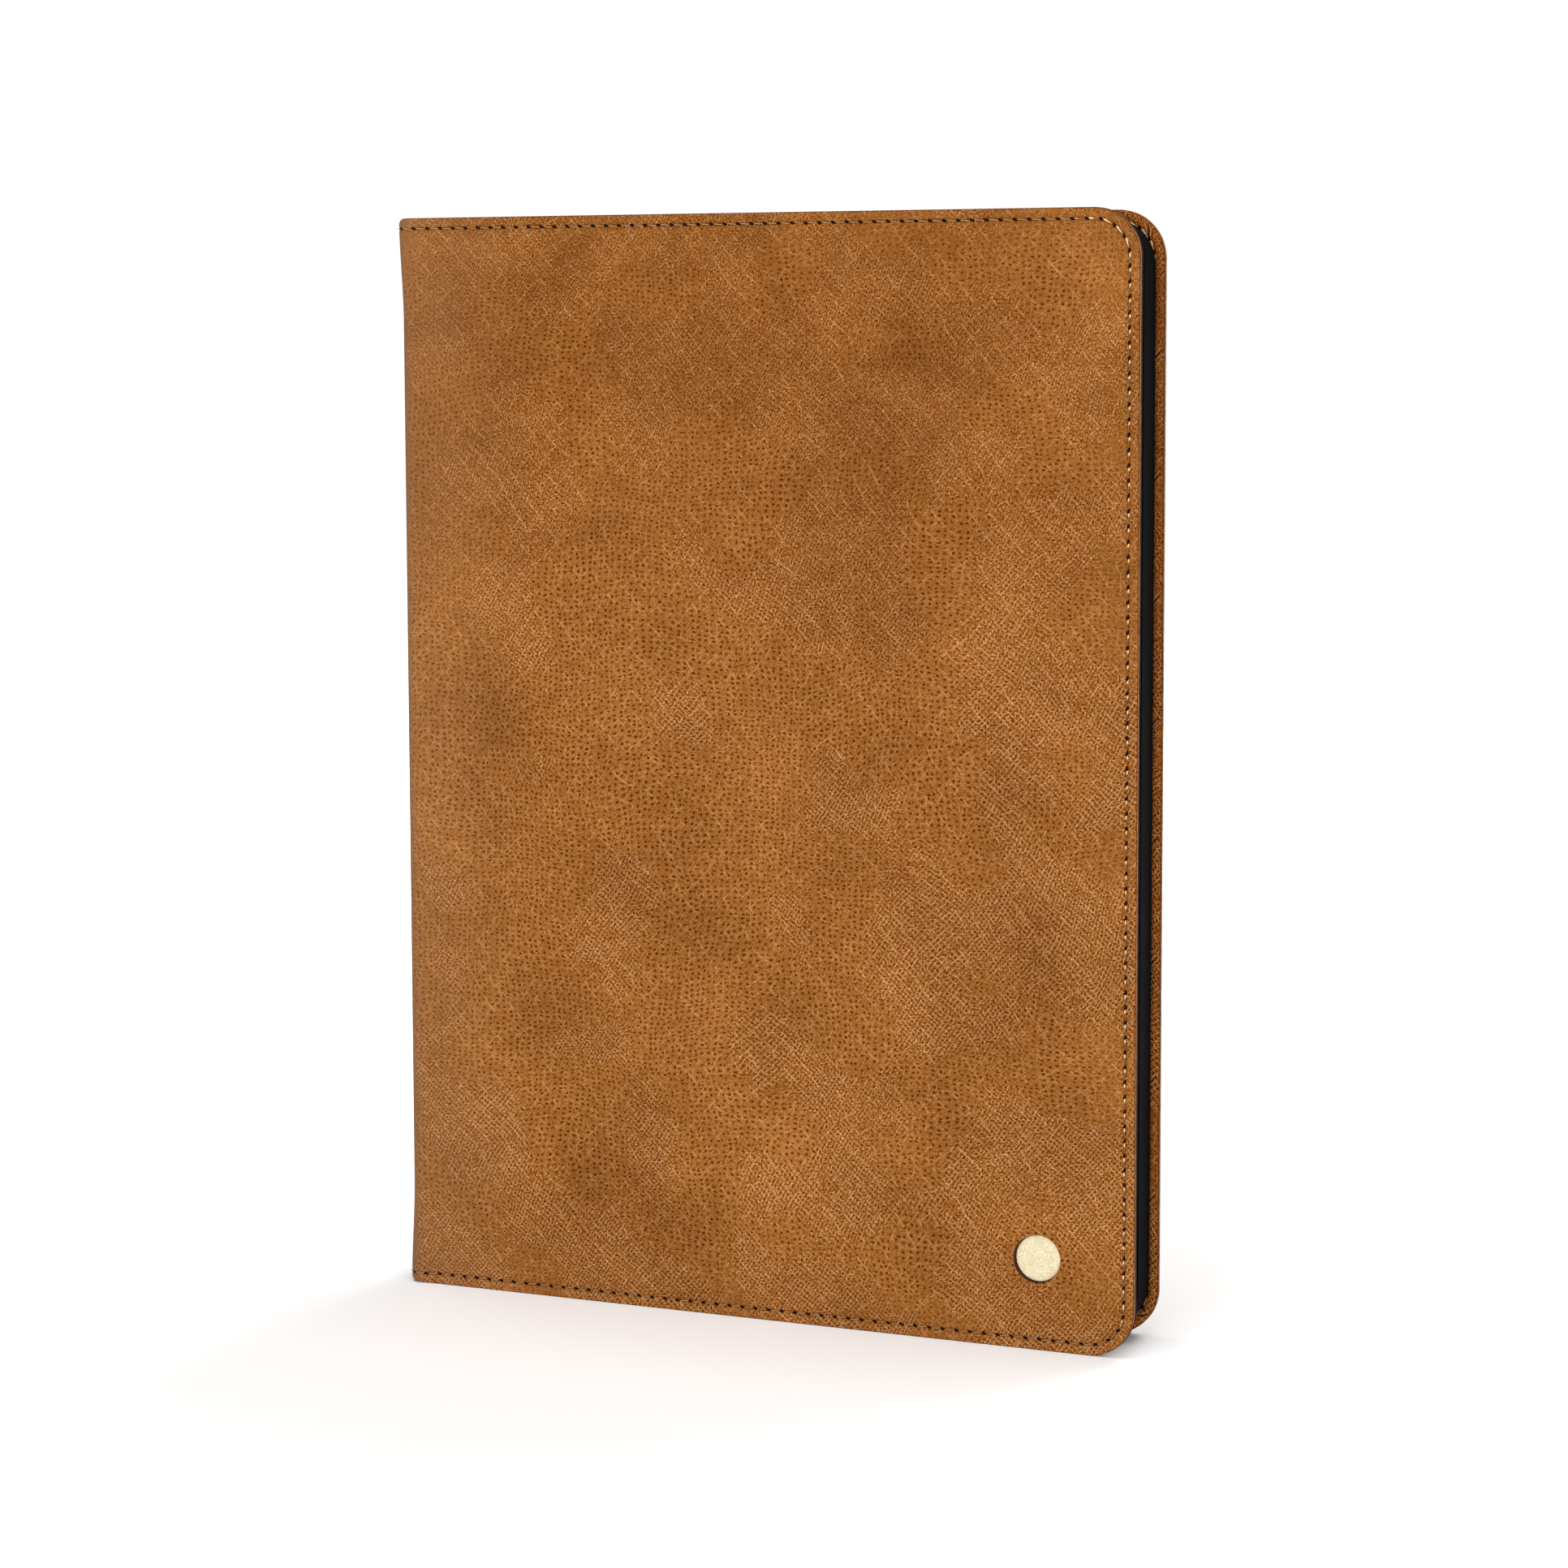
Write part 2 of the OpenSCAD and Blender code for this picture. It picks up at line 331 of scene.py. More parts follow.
def make_mesh(name, points, faces, materials, slots=None, layers=None):
    """Smooth-shaded mesh object from points and quads, with UV layers given per point."""
    mesh = bpy.data.meshes.new(name)
    mesh.from_pydata(np.asarray(points).tolist(), [], [list(map(int, face)) for face in faces])
    for material in materials:
        mesh.materials.append(material)
    if slots is not None:
        mesh.polygons.foreach_set("material_index", np.asarray(slots, dtype=np.int32))
    mesh.polygons.foreach_set("use_smooth", np.ones(len(mesh.polygons), dtype=bool))
    corners = np.zeros(len(mesh.loops), dtype=np.int32)
    mesh.loops.foreach_get("vertex_index", corners)
    for layer, values in (layers or {}).items():
        uv = mesh.uv_layers.new(name=layer)
        uv.data.foreach_set("uv", np.asarray(values, dtype=np.float32)[corners].ravel())
    mesh.update()
    made = bpy.data.objects.new(name, mesh)
    bpy.context.scene.collection.objects.link(made)
    return made


def sharpen(made, angle):
    """Marks edges sharper than angle, so that smooth shading stops there."""
    made.data.set_sharp_from_angle(angle=angle)


def wrap_grid(face, centre, with_window):
    """Grid lines across, from mid-spine to the fore edge, and grid lines up."""
    fold_start = face.cover.half_spine
    fold_end = fold_start + face.length
    stops = [fold_end, fold_end + 0.9 * MM, fold_end + BOARD_START, *(face.width - RINGS)]
    rows = [*RINGS, *(HEIGHT - RINGS)]
    if with_window:
        lips = [-EMBLEM_BLOCK - EMBLEM_LIP, EMBLEM_BLOCK + EMBLEM_LIP]
        block = np.concatenate([spread(-EMBLEM_BLOCK, EMBLEM_BLOCK, MM), lips])
        stops = stops + list(centre[0] + block)
        rows = rows + list(centre[1] + block)
    spine = spread(0, fold_start, SPINE_STEP)[:-1]
    fold = spread(fold_start, fold_end, FOLD_STEP)[:-1]
    return np.concatenate([spine, fold, grid_lines(stops, FIELD_STEP)]), grid_lines(rows, FIELD_STEP)


def rough_waist(face, travel, z, edge, middle, rim):
    """Points half-way down the cut edge, pushed out by the nap of cut leather."""
    shift_x, shift_z = inset_vector(face, travel, z, -EDGE_NAP * edge_noise(travel, z) * (edge < TOUCH))
    level = np.zeros(travel.shape)
    bulge = face.place(travel - shift_x, z - shift_z, level) - face.place(travel, z, level)
    return (middle + bulge).reshape(-1, 3)[rim]


def leather_wrap(name, face, materials, with_window):
    """Closed solid of leather over one cover, its fold and half the spine."""
    centre = (face.width - EMBLEM_FROM_EDGE, EMBLEM_FROM_BASE)
    x_lines, z_lines = wrap_grid(face, centre, with_window)
    travel, z = np.meshgrid(x_lines, z_lines, indexing="ij")
    edge = face.edge_distance(travel, z)
    shape = travel.shape
    count = travel.size
    index = np.arange(count).reshape(shape)
    skip = np.zeros((shape[0] - 1, shape[1] - 1), dtype=bool)
    lip = np.zeros(shape)
    if with_window:
        inside_x = np.abs(x_lines - centre[0]) < EMBLEM_BLOCK + TOUCH
        inside_z = np.abs(z_lines - centre[1]) < EMBLEM_BLOCK + TOUCH
        skip = np.outer(inside_x[:-1] & inside_x[1:], inside_z[:-1] & inside_z[1:])
        hole = loop_around(index[np.ix_(np.flatnonzero(inside_x), np.flatnonzero(inside_z))])
        travel, z, lip = warp_window(travel, z, centre)
    travel, z, inside, angle = face.round_corners(travel, z)
    run = face.seam_run(travel, z, inside, angle)
    points = face.place(travel, z, relief(face, travel, z, edge) + LIP_DEPTH * lip)
    shift_x, shift_z = inset_vector(face, travel, z, PARTING_GROOVE * (edge < TOUCH))
    hidden = face.place_back(travel - shift_x, z - shift_z, back_depth(face, travel, edge))
    rim = loop_around(index)
    waist = rough_waist(face, travel, z, edge, (points + hidden) / 2, rim)
    all_points = np.concatenate([points.reshape(-1, 3), hidden.reshape(-1, 3), waist])

    front_faces = grid_faces(*shape, skip)
    back_faces = front_faces[:, ::-1] + count
    ring = np.arange(len(rim)) + 2 * count
    next_rim = np.roll(rim, -1)
    next_ring = np.roll(ring, -1)
    upper = np.stack([rim, ring, next_ring, next_rim], axis=-1)
    lower = np.stack([ring, rim + count, next_rim + count, next_ring], axis=-1)
    faces = [front_faces, back_faces, upper, lower]
    slots = [np.zeros(len(front_faces)), np.ones(len(back_faces) + len(upper) + len(lower))]
    if with_window:
        next_hole = np.roll(hole, -1)
        walls = np.stack([hole, next_hole, next_hole + count, hole + count], axis=-1)
        faces.append(walls)
        slots.append(np.full(len(walls), 2))
    faces = np.concatenate(faces)
    if face.side * (1 if face.cover is FRONT else -1) < 0:
        faces = faces[:, ::-1]

    layers = wrap_layers(face, travel, z, edge, run)
    layers = {key: np.concatenate([value, value, value[rim]]) for key, value in layers.items()}
    used = np.unique(faces)
    renumber = np.full(len(all_points), -1)
    renumber[used] = np.arange(len(used))
    made = make_mesh(name, all_points[used], renumber[faces], materials, np.concatenate(slots),
                     {key: value[used] for key, value in layers.items()})
    sharpen(made, math.radians(50))
    return made


def warp_window(travel, z, centre):
    """Bends the grid round the window, so that a square block of cells becomes a round hole."""
    dx = travel - centre[0]
    dz = z - centre[1]
    ring = np.maximum(np.abs(dx), np.abs(dz))
    length = np.maximum(np.hypot(dx, dz), NOT_ZERO)
    radius = EMBLEM_R + (ring - EMBLEM_BLOCK)
    share = smooth(EMBLEM_BLOCK, EMBLEM_WARP, ring)
    near = (ring < EMBLEM_WARP) & (ring > EMBLEM_BLOCK - TOUCH)
    new_x = np.where(near, dx / length * radius * (1 - share) + dx * share, dx)
    new_z = np.where(near, dz / length * radius * (1 - share) + dz * share, dz)
    lip = np.clip(1 - (ring - EMBLEM_BLOCK) / EMBLEM_LIP, 0, 1) * (ring > EMBLEM_BLOCK - TOUCH)
    return centre[0] + new_x, centre[1] + new_z, lip


def edge_noise(travel, z):
    """Repeatable roughness of a cut edge, from 0 to 1."""
    x = travel / MM
    y = z / MM
    wave = np.sin(x * 5.1 + np.sin(y * 3.3) * 2) + np.sin(y * 7.7 + np.sin(x * 2.9) * 3)
    return 0.5 + 0.25 * wave


def inset_vector(face, travel, z, amount):
    """Step towards the inside of the cover, as travel and height, where amount isn't 0."""
    far = (travel - (face.width - CORNER)) / CORNER
    above = (np.abs(z - HEIGHT / 2) - face.straight) / CORNER
    in_corner = (far > 0) & (above > 0)
    length = np.maximum(np.hypot(far, above), NOT_ZERO)
    on_fore = face.width - travel < TOUCH
    step_x = np.where(in_corner, far / length, np.where(on_fore, 1.0, 0.0))
    step_z = np.where(in_corner, above / length, np.where(on_fore, 0.0, 1.0))
    return step_x * amount, step_z * amount * np.sign(z - HEIGHT / 2)


def wrap_layers(face, travel, z, edge, run):
    """UV layers in millimetres: the unrolled leather, and the distances along and from the seam."""
    sign = 1 if face.cover is FRONT else -1
    grain = np.stack([sign * travel / MM, z / MM], axis=-1).reshape(-1, 2)
    seam = np.stack([run / face.pitch, edge / MM], axis=-1).reshape(-1, 2)
    return {"grain": grain, "seam": seam}


class Graph:
    """Node tree of one material. A value is a number, a colour, a vector or another node's output."""

    def __init__(self, name):
        self.material = bpy.data.materials.new(name)
        self.material.use_nodes = True
        self.tree = self.material.node_tree
        self.shader = self.tree.nodes["Principled BSDF"]

    def feed(self, socket, value):
        """Links an output to the socket, or sets the socket to a constant."""
        if isinstance(value, bpy.types.NodeSocket):
            self.tree.links.new(value, socket)
        else:
            socket.default_value = value

    def node(self, kind, values=None, **settings):
        """New shader node with its settings and the values of its inputs."""
        made = self.tree.nodes.new("ShaderNode" + kind)
        for key, setting in settings.items():
            setattr(made, key, setting)
        for key, value in (values or {}).items():
            self.feed(made.inputs[key], value)
        return made

    def math(self, operation, a, b=0.0, c=0.0):
        return self.node("Math", {0: a, 1: b, 2: c}, operation=operation).outputs[0]

    def times(self, a, b):
        return self.math("MULTIPLY", a, b)

    def plus(self, a, b):
        return self.math("ADD", a, b)

    def ramp(self, value, low, high, start=0.0, end=1.0):
        """Smoothstep of value from low to high, scaled to run from start to end."""
        values = {0: value, 1: low, 2: high, 3: start, 4: end}
        return self.node("MapRange", values, interpolation_type="SMOOTHSTEP").outputs[0]

    def mix(self, share, a, b, blend="MIX"):
        """Colour a with a share of b blended in."""
        made = self.node("Mix", data_type="RGBA", blend_type=blend)
        self.feed(made.inputs[0], share)
        self.feed(made.inputs[6], a)
        self.feed(made.inputs[7], b)
        return made.outputs[2]

    def vector(self, operation, a, b=(0.0, 0.0, 0.0), out=0):
        return self.node("VectorMath", {0: a, 1: b}, operation=operation).outputs[out]

    def noise(self, vector, size, detail=2.0, rough=0.5):
        """Noise whose features are about size wide."""
        values = {"Vector": vector, "Scale": 1 / size, "Detail": detail, "Roughness": rough}
        return self.node("TexNoise", values)

    def cells(self, vector, feature, randomness):
        """Cells one unit wide, on a grid that randomness loosens."""
        return self.node("TexVoronoi", {"Vector": vector, "Scale": 1.0, "Randomness": randomness},
                         voronoi_dimensions="2D", feature=feature)

    def uv(self, layer):
        return self.node("UVMap", uv_map=layer).outputs[0]

    def warp(self, vector, size, amount):
        """Vector, pushed about by soft noise."""
        push = self.vector("SUBTRACT", self.noise(vector, size, 1.0).outputs["Color"], (0.5, 0.5, 0.5))
        return self.vector("ADD", vector, self.vector("MULTIPLY", push, (amount, amount, 0.0)))

    def bump(self, height, depth):
        """Bumps in the surface, where a height of 1 stands depth proud."""
        made = self.node("Bump", {"Height": height, "Distance": depth, "Strength": 1.0})
        self.feed(self.shader.inputs["Normal"], made.outputs[0])

    def finish(self, color, roughness, **fixed):
        """Material with its colour, its roughness and other fixed inputs of the shader."""
        self.feed(self.shader.inputs["Base Color"], color)
        self.feed(self.shader.inputs["Roughness"], roughness)
        for key, value in fixed.items():
            self.shader.inputs[key.replace("_", " ")].default_value = value
        return self.material


def rgb(red, green, blue):
    """Linear colour from the 0 to 255 numbers of a screen colour."""
    def linear(value):
        value = value / 255
        return value / 12.92 if value <= 0.04045 else ((value + 0.055) / 1.055) ** 2.4
    return (linear(red), linear(green), linear(blue), 1.0)


def stitch_holes(graph, seam):
    """Needle holes along the seam, painted dark as the shade inside them; 1 inside a hole."""
    along = graph.times(graph.plus(graph.math("FRACT", seam[0]), -0.5), STITCH / MM)
    across = graph.plus(seam[1], -SEAM_INSET / MM)
    slant = graph.math("MULTIPLY_ADD", across, 0.55, along)
    first = graph.math("POWER", graph.math("ABSOLUTE", graph.times(slant, 1 / HOLE_LONG)), 2.0)
    second = graph.math("POWER", graph.math("ABSOLUTE", graph.times(across, 1 / HOLE_WIDE)), 2.0)
    return graph.ramp(graph.plus(first, second), 0.65, 1.2, 1.0, 0.0)


def shade_ramp(graph, value, shades):
    """Colour for a shade from -1, darkest, to 1, palest."""
    ramp = graph.node("ValToRGB", {0: graph.math("MULTIPLY_ADD", value, 0.5, 0.5)})
    stops = ramp.color_ramp.elements
    stops[0].position = 0.0
    stops[0].color = shades[0]
    stops[1].position = 1.0
    stops[1].color = shades[-1]
    for number in range(1, len(shades) - 1):
        stops.new(number / (len(shades) - 1)).color = shades[number]
    return ramp.outputs[0]


def lattice(graph, place, angle, spacing):
    """Distance to the nearest of many parallel lines, as a share of their spacing."""
    direction = (-math.sin(math.radians(angle)) / spacing, math.cos(math.radians(angle)) / spacing, 0.0)
    run = graph.vector("DOT_PRODUCT", place, direction, out=1)
    return graph.math("PINGPONG", run, 0.5)


def pebbles(graph, place, coarse, edge):
    """Rows of dark pits, and the ridges between them."""
    grid = graph.vector("MULTIPLY", place, (1 / PIT_WIDE, 1 / PIT_TALL, 0.0))
    cells = graph.cells(grid, "F1", 0.55)
    each = graph.node("SeparateColor", {0: cells.outputs["Color"]}).outputs[0]
    pit = graph.ramp(cells.outputs["Distance"], 0.04, 0.30, 1.0, 0.0)
    pit = graph.times(pit, graph.ramp(each, 0.0, 0.8, 0.4, 1.0))
    pit = graph.times(pit, graph.plus(graph.times(coarse, 0.65), 0.35))
    pit = graph.times(pit, graph.ramp(edge, 2.0, 16.0, 0.35, 1.0))
    gap = graph.cells(grid, "DISTANCE_TO_EDGE", 0.55).outputs["Distance"]
    return pit, graph.times(graph.ramp(gap, 0.0, 0.14, 1.0, 0.0), coarse)


def creases(graph, place, coarse, height, shares):
    """Fine pale creases that cross, and the hollows between them."""
    fine = graph.math("SUBTRACT", 1.0, coarse)
    top = graph.ramp(height, 130.0, 215.0)
    low = graph.math("SUBTRACT", 1.0, top)
    steep = lattice(graph, place, 58.0, 0.90)
    shallow = lattice(graph, place, -40.0, 1.05)
    hair = graph.times(graph.ramp(lattice(graph, place, 64.0, 0.62), 0.04, 0.26, 1.0, 0.0), top)
    first = graph.plus(graph.times(graph.ramp(steep, 0.02, 0.20, 1.0, 0.0), low), hair)
    first = graph.times(first, graph.ramp(shares[1], 0.34, 0.54, 0.2, 1.0))
    second = graph.ramp(shallow, 0.02, 0.18, 1.0, 0.0)
    second = graph.times(second, graph.ramp(shares[2], 0.34, 0.54, 0.2, 1.0))
    second = graph.times(second, graph.plus(graph.times(low, 0.75), 0.25))
    crease = graph.times(graph.math("MAXIMUM", first, second), graph.plus(graph.times(fine, 0.65), 0.35))
    hollow = graph.ramp(graph.math("MINIMUM", steep, shallow), 0.14, 0.36)
    return crease, graph.times(hollow, graph.plus(graph.times(fine, 0.7), 0.3))


def long_creases(graph, flow, shares):
    """Long pale creases, a few millimetres apart, that fade in and out."""
    loose = graph.warp(flow, 17.0, 6.0)
    line = graph.math("MINIMUM", lattice(graph, loose, 46.0, 2.7), lattice(graph, loose, -50.0, 3.6))
    line = graph.times(graph.ramp(line, 0.015, 0.075, 1.0, 0.0), graph.ramp(shares[0], 0.40, 0.56, 0.1, 1.0))
    return graph.times(line, 1.15)


def painted_shade_and_sheen(graph, color, flat):
    """Painted shade that greys and darkens the outer leather along the fold and the spine, a painted greyish
    sheen beside the fold, and a burnt rim round the window with painted shade on its left and lower side.
    """
    across = graph.math("ABSOLUTE", graph.node("SeparateXYZ", {0: flat}).outputs[0])
    # Painted shade where the fold and the spine turn away from the light: darker and greyer.
    color = graph.mix(graph.ramp(across, 6.4, 9.8, 0.5, 0.0), color, (0.55, 0.60, 0.72, 1.0), "MULTIPLY")
    # Painted shade along the crest of the fold.
    crest = graph.times(graph.ramp(across, 7.6, 12.0, 0.6, 0.0), graph.ramp(across, 4.0, 6.8))
    color = graph.mix(crest, color, rgb(112, 82, 58))
    # Painted greyish sheen over a broad band beside the fold.
    color = graph.mix(graph.ramp(across, 8.0, 45.0, 0.2, 0.0), color, rgb(140, 104, 72))
    # Dark ring round the window: a burnt rim, set off to the left and below so that it also paints the shade
    # on that side.
    window = graph.vector("DISTANCE", flat, WINDOW_SHADE, out=1)
    burnt_rim_and_shade = graph.ramp(window, EMBLEM_R / MM + 0.05, EMBLEM_R / MM + 0.30, 0.9, 0.0)
    return graph.mix(burnt_rim_and_shade, color, (0.016, 0.009, 0.005, 1.0))


def margin_nicks(graph, seam, spacing):
    """Short slanted nicks in the margin, spacing millimetres apart, painted dark as the shade inside them,
    and a painted highlight on the lips beside them.
    """
    along = graph.math("FRACT", graph.times(seam[0], STITCH / MM / spacing))
    along = graph.times(graph.plus(along, -0.5), spacing)
    across = graph.plus(seam[1], -NICK_INSET)
    slant = graph.math("ABSOLUTE", graph.math("MULTIPLY_ADD", across, 1.1, along))
    inside = graph.ramp(graph.math("ABSOLUTE", across), 0.6, 0.9, 1.0, 0.0)
    nick = graph.times(graph.ramp(slant, 0.12, 0.36, 1.0, 0.0), inside)
    beside = graph.math("ABSOLUTE", graph.plus(slant, -0.72))
    return nick, graph.times(graph.ramp(beside, 0.05, 0.22, 1.0, 0.0), inside)


def leather(name, shades, clouds, nicks=0.0, outer=False):
    """Waxed full-grain leather: rows of pits, a fine net of pale creases and soft clouds of tone.

    Where nicks isn't 0, a short slanted nick lies in the margin every so many millimetres.
    """
    graph = Graph(name)
    flat = graph.uv("grain")
    seam = graph.node("SeparateXYZ", {0: graph.uv("seam")}).outputs
    edge = seam[1]
    height = graph.node("SeparateXYZ", {0: flat}).outputs[1]
    flow = graph.warp(flat, 40.0, 11.0)
    place = graph.warp(flow, 3.6, 0.6)
    away = graph.vector("DISTANCE", flat, COARSE_CENTRE, out=1)
    patch = graph.plus(graph.noise(flat, 26.0, 1.0).outputs[0], graph.ramp(away, 30.0, 120.0, 0.08, -0.07))
    coarse = graph.ramp(patch, 0.40, 0.56)
    shares = graph.node("SeparateColor", {0: graph.noise(place, 3.0, 1.0).outputs["Color"]}).outputs
    pit, ridge = pebbles(graph, place, coarse, edge)
    ridge = graph.times(ridge, graph.ramp(shares[0], 0.35, 0.60, 0.3, 1.0))
    crease, hollow = creases(graph, place, coarse, height, shares)
    crease = graph.math("MAXIMUM", crease, ridge)
    crease = graph.math("MAXIMUM", crease, long_creases(graph, flow, shares))
    grit = graph.noise(flat, 0.42, 1.0, 0.8).outputs[0]

    rough = graph.ramp(coarse, 0.0, 1.0, 3.7, 2.2)
    detail = graph.math("MULTIPLY_ADD", pit, -1.55, graph.times(graph.plus(grit, -0.512), rough))
    detail = graph.math("MULTIPLY_ADD", hollow, -0.36, detail)
    detail = graph.math("MULTIPLY_ADD", crease, 0.58, detail)
    strength = graph.ramp(height, 150.0, 235.0, 1.0, 0.85)
    strength = graph.times(strength, graph.ramp(coarse, 0.0, 1.0, 1.08, 0.84))
    color = shade_ramp(graph, graph.times(detail, strength), shades)
    tone = graph.node("Attribute", attribute_name="tone").outputs["Fac"]
    cloud = graph.noise(graph.warp(flat, 30.0, 16.0), 19.0, 4.0, 0.6).outputs[0]
    cloud = graph.math("MULTIPLY_ADD", graph.plus(cloud, -0.5), clouds, tone)
    # The tint also runs darker towards the top and lighter towards the bottom.
    depth = graph.plus(graph.plus(cloud, 0.5), graph.ramp(height, 0.0, 258.0, 0.13, -0.11))
    tint = graph.mix(depth, (0.51, 0.426, 0.254, 1.0), (1.245, 1.315, 1.10, 1.0))
    color = graph.mix(1.0, color, tint, "MULTIPLY")
    if outer:
        color = painted_shade_and_sheen(graph, color, flat)

    hole = stitch_holes(graph, seam)
    # Painted shade darkens the seam crease.
    crease_shade = graph.ramp(graph.math("ABSOLUTE", graph.plus(edge, -SEAM_INSET / MM)), 0.05, 0.60, 0.30, 0.0)
    color = graph.mix(crease_shade, color, shades[0], "MULTIPLY")
    # Painted shade on the rounded rim at the very edge of the leather.
    color = graph.mix(graph.ramp(edge, 0.05, 0.30, 0.75, 0.0), color, shades[0])
    # Painted shade inside the needle holes.
    color = graph.mix(hole, color, (0.010, 0.004, 0.001, 1.0))
    rise = graph.plus(graph.times(pit, -0.9), graph.times(crease, 0.5))
    if nicks:
        nick, lip = margin_nicks(graph, seam, nicks)
        # Painted highlight on the lip beside each nick, and painted shade inside each nick.
        color = graph.mix(graph.times(lip, 0.6), color, shades[-1])
        color = graph.mix(graph.times(nick, 0.7), color, (0.012, 0.004, 0.001, 1.0))
        rise = graph.plus(rise, graph.times(nick, -2.5))
    rise = graph.plus(rise, graph.times(grit, 0.6))
    rise = graph.plus(rise, graph.times(hole, -3.0))
    graph.bump(rise, 0.10 * MM)
    gloss = graph.plus(graph.times(pit, 0.14), graph.times(cloud, -0.06))
    return graph.finish(color, graph.plus(gloss, 0.50), Specular_IOR_Level=0.04)


def raw_edge(name, dark, pale):
    """Cut edge of leather: packed fibres with a slight nap."""
    graph = Graph(name)
    place = graph.node("TexCoord").outputs["Object"]
    fibre = graph.noise(place, 0.5 * MM, 3.0, 0.7).outputs[0]
    speck = graph.noise(place, 2.6 * MM, 2.0).outputs[0]
    share = graph.plus(graph.times(fibre, 0.7), graph.times(speck, 0.3))
    color = graph.mix(graph.ramp(share, 0.35, 0.65), dark, pale)
    graph.bump(fibre, 0.15 * MM)
    return graph.finish(color, graph.plus(graph.times(fibre, 0.2), 0.75), Specular_IOR_Level=0.15)


def thread_material():
    """Waxed twisted thread, with a pale painted highlight where it comes up out of a hole."""
    graph = Graph("waxed_thread")
    along, around, _ = graph.node("SeparateXYZ", {0: graph.uv("thread")}).outputs
    turns = graph.plus(graph.times(along, 38.0), graph.times(around, 2 * math.pi))
    twist = graph.math("SINE", turns)
    # Painted highlight: cream where the thread comes up out of a hole.
    color = graph.mix(graph.ramp(along, 0.24, 0.42, 1.0, 0.0), rgb(158, 98, 42), rgb(252, 222, 166))
    color = graph.mix(graph.ramp(twist, -1.0, 1.0, 0.0, 0.30), color, rgb(120, 70, 22))
    graph.bump(twist, 0.05 * MM)
    return graph.finish(color, 0.45, Specular_IOR_Level=0.15)


def plastic_material():
    """Satin black moulding with a fine moulded texture and faint handling marks."""
    graph = Graph("satin_black_plastic")
    place = graph.node("TexCoord").outputs["Object"]
    fine = graph.noise(place, 0.28 * MM, 2.0, 0.6).outputs[0]
    marks = graph.noise(graph.vector("MULTIPLY", place, (1.0, 1.0, 0.6)), 9.0 * MM, 4.0, 0.6).outputs[0]
    dark = (0.0038, 0.0038, 0.0041, 1.0)
    pale = (0.0055, 0.0055, 0.0058, 1.0)
    color = graph.mix(graph.ramp(marks, 0.3, 0.75), dark, pale)
    graph.bump(fine, 0.02 * MM)
    return graph.finish(color, graph.ramp(marks, 0.3, 0.7, 0.42, 0.52), Specular_IOR_Level=0.004)


def suede_material():
    """Pale suede of the inlay, with short fibres and warmer patches."""
    graph = Graph("cream_suede")
    place = graph.node("TexCoord").outputs["Object"]
    fibre = graph.noise(graph.vector("MULTIPLY", place, (1.0, 1.0, 1.7)), 0.42 * MM, 4.0, 0.7).outputs[0]
    patch = graph.noise(place, 3.5 * MM, 2.0).outputs[0]
    color = graph.mix(graph.ramp(fibre, 0.3, 0.7), rgb(203, 186, 146), rgb(247, 236, 206))
    color = graph.mix(graph.ramp(patch, 0.4, 0.7, 0.0, 0.3), color, rgb(196, 172, 122))
    graph.bump(fibre, 0.12 * MM)
    return graph.finish(color, 0.92, Specular_IOR_Level=0.1, Sheen_Weight=0.2, Sheen_Roughness=0.5)


def fibre_board_material():
    """Pressed grey board with flecks."""
    graph = Graph("pressed_board")
    place = graph.node("TexCoord").outputs["Object"]
    fleck = graph.noise(graph.vector("MULTIPLY", place, (1.0, 1.0, 0.3)), 1.4 * MM, 4.0, 0.7).outputs[0]
    color = graph.mix(graph.ramp(fleck, 0.35, 0.68), rgb(128, 120, 108), rgb(170, 162, 148))
    graph.bump(fleck, 0.05 * MM)
    return graph.finish(color, 0.85)


def adhesive_material():
    """Milky adhesive sheet with a faint dimpled liner texture."""
    graph = Graph("adhesive_sheet")
    place = graph.node("TexCoord").outputs["Object"]
    dimple = graph.noise(place, 1.1 * MM, 2.0).outputs[0]
    color = graph.mix(graph.ramp(dimple, 0.35, 0.65), rgb(196, 194, 188), rgb(222, 220, 214))
    graph.bump(dimple, 0.03 * MM)
    return graph.finish(color, 0.55)


def magnet_material():
    """Plated magnet with fine turned marks."""
    graph = Graph("plated_magnet")
    place = graph.node("TexCoord").outputs["Object"]
    mark = graph.noise(graph.vector("MULTIPLY", place, (1.0, 1.0, 6.0)), 1.0 * MM, 2.0).outputs[0]
    color = graph.mix(graph.ramp(mark, 0.3, 0.7), rgb(176, 176, 180), rgb(208, 208, 212))
    return graph.finish(color, graph.ramp(mark, 0.3, 0.7, 0.25, 0.4), Metallic=1.0)


